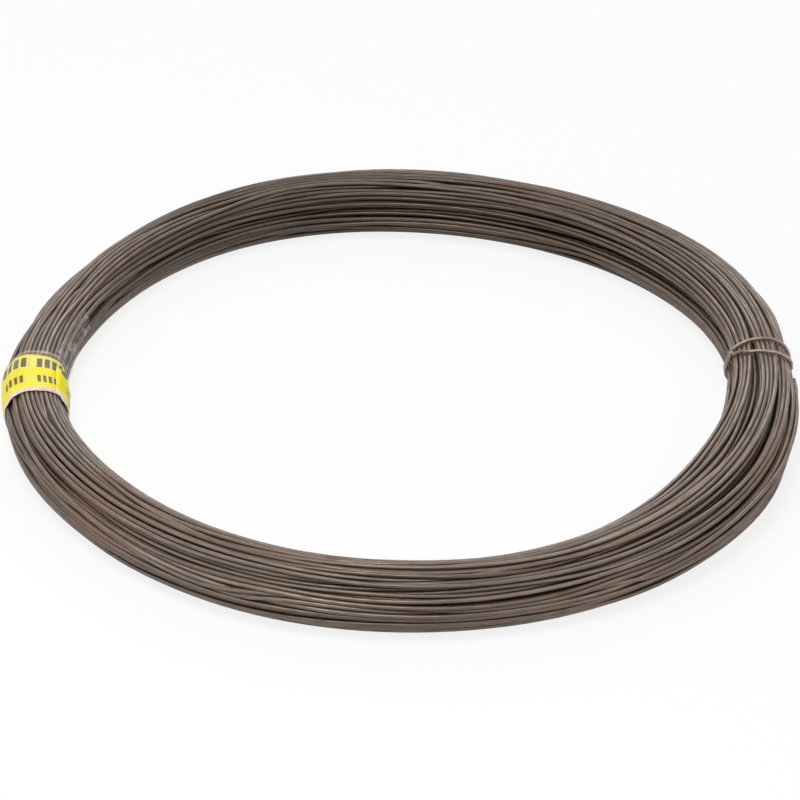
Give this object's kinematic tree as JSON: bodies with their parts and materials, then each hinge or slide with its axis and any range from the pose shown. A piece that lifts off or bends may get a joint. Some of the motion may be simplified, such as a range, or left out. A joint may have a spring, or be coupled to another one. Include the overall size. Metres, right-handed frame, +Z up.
{
  "type": "coil of annealed wire",
  "caption": "Coil of annealed steel binding wire lying flat, its bundled turns held by a wire tie and a printed label band under clear film.",
  "frame": {"origin": "centre of the coil's outside circle at floor level", "axes": "+Z up along the coil's axis, -X towards the label, +X towards the wire tie"},
  "size_m": [0.2194, 0.2194, 0.018],
  "materials": {
    "wire": "dull oxide",
    "tie": "dull oxide",
    "label": "satin",
    "film": "clear gloss"
  },
  "bodies": {
    "root": {"wire_coil": "wire", "tie_wire": "tie", "label_band": "label", "clear_film": "film"}
  },
  "joints": []
}
